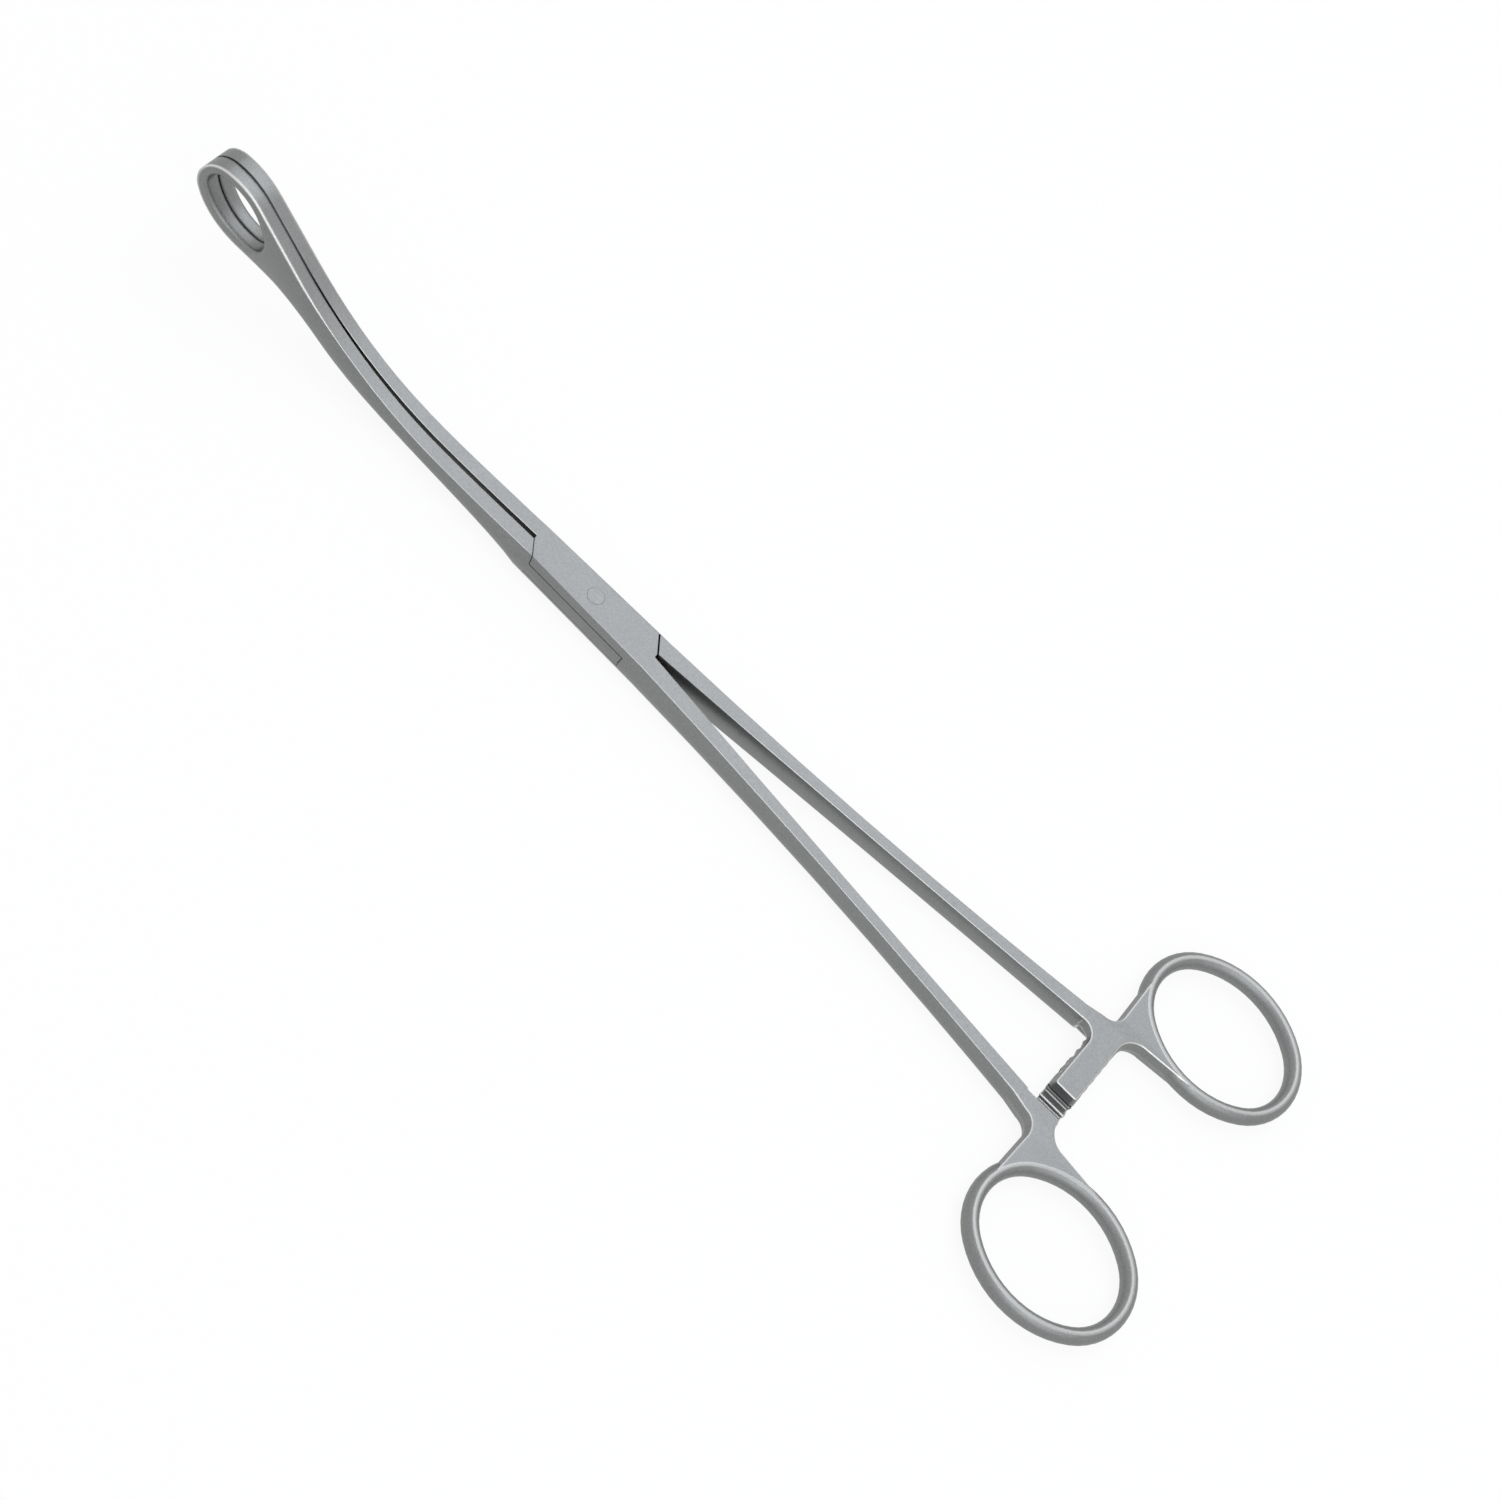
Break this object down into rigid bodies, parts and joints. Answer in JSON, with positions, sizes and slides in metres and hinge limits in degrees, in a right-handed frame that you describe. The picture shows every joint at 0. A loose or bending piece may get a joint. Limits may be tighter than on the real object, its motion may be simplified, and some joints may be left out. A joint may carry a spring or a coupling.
{
  "type": "sponge holding forceps",
  "caption": "Long ring-handled forceps with a box lock, a finger ratchet and smooth curved jaws that end in open ovals.",
  "frame": {"origin": "on the pin's axis at the underside of the box lock", "axes": "+X along the instrument to the jaws, +Z to the side to which the jaws curve, +Y to the finger ring of the slotted half"},
  "size_m": [0.2396, 0.0836, 0.0219],
  "materials": {
    "forged_steel": "fine satin",
    "pin_steel": "ground flush, satin"
  },
  "bodies": {
    "slotted_body": {"slotted_half": "forged_steel", "pivot_pin": "pin_steel"},
    "tongue_body": {"tongue_half": "forged_steel"}
  },
  "joints": [
    {"name": "box_lock_hinge", "type": "hinge", "parent": "slotted_body", "child": "tongue_body", "pos_m": [0, 0, 0.00275], "axis": [0, 0, 1], "range_deg": [0, 45]}
  ]
}
